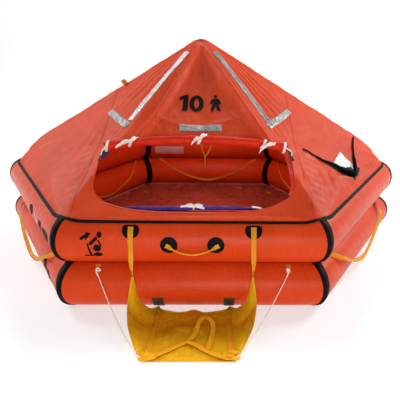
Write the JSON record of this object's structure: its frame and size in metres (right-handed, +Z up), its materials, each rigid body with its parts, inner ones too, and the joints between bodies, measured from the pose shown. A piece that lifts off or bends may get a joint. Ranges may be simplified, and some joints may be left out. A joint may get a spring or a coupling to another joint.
{
  "type": "inflatable life raft",
  "caption": "Hexagonal inflatable raft of stacked tubes with an arch-held fabric canopy, open entrance, boarding ramp, grab handle and lifelines.",
  "frame": {"origin": "middle of the raft's underside, on the ground under the crown, at the righting strap's lower face", "axes": "+Z up, -Y out through the entrance and over the boarding ramp, +X to the right as seen from the entrance"},
  "size_m": [3.0998, 3.2268, 1.4869],
  "materials": {
    "tube_fabric": "satin orange coated fabric, airtight",
    "canopy_fabric": "thin orange coated nylon, slight gloss, creased",
    "door_fabric": "bright orange-red coated nylon",
    "black_rubber": "matt black coated tape and patches",
    "yellow_webbing": "woven amber-yellow webbing",
    "ramp_fabric": "amber-yellow coated fabric, sewn",
    "white_cord": "braided white cord and tape",
    "floor_fabric": "glossy dark red coated sheet, creased",
    "lining_fabric": "blue-violet lining fabric",
    "blank_tag": "white blank tag",
    "blank_label": "pale blank label film",
    "cylinder_paint": "grey painted steel",
    "valve_brass": "dull brass"
  },
  "bodies": {
    "root": {"arch_tube": "tube_fabric", "ballast_pocket_back_left": "tube_fabric", "ballast_pocket_back_right": "tube_fabric", "ballast_pocket_front_left": "tube_fabric", "ballast_pocket_front_right": "tube_fabric", "boarding_ramp": "ramp_fabric", "boarding_strap_left": "yellow_webbing", "boarding_strap_right": "yellow_webbing", "canopy_back": "canopy_fabric", "canopy_back_left": "canopy_fabric", "canopy_back_right": "canopy_fabric", "canopy_front": "canopy_fabric", "canopy_front_left": "canopy_fabric", "canopy_front_right": "canopy_fabric", "canopy_tape": "black_rubber", "cord_tab_left": "yellow_webbing", "cord_tab_right": "yellow_webbing", "corner_band_back_left": "black_rubber", "corner_band_back_right": "black_rubber", "corner_band_front_left": "black_rubber", "corner_band_front_right": "black_rubber", "corner_band_left": "black_rubber", "corner_band_right": "black_rubber", "cylinder_valve": "valve_brass", "door_roll": "door_fabric", "door_tie_left": "white_cord", "door_tie_middle": "white_cord", "door_tie_right": "white_cord", "door_toggle_left": "black_rubber", "door_toggle_right": "black_rubber", "floor": "floor_fabric", "gas_cylinder": "cylinder_paint", "grab_handle": "yellow_webbing", "gutter_tag": "blank_tag", "handle_patch_left": "black_rubber", "handle_patch_right": "black_rubber", "inner_lifeline_back": "yellow_webbing", "inner_lifeline_back_left": "yellow_webbing", "inner_lifeline_back_right": "yellow_webbing", "inside_label": "blank_label", "lifeline_back": "yellow_webbing", "lifeline_back_left": "yellow_webbing", "lifeline_back_right": "yellow_webbing", "lifeline_front_left": "yellow_webbing", "lifeline_front_right": "yellow_webbing", "lower_tube": "tube_fabric", "rain_gutter": "black_rubber", "ramp_anchor_left": "black_rubber", "ramp_anchor_right": "black_rubber", "ramp_cord_left": "white_cord", "ramp_cord_right": "white_cord", "ridge_tab": "yellow_webbing", "righting_strap": "black_rubber", "sill_roll": "lining_fabric", "strap_patch_left": "black_rubber", "strap_patch_right": "black_rubber", "topping_valve": "black_rubber", "upper_tube": "tube_fabric"}
  },
  "joints": []
}
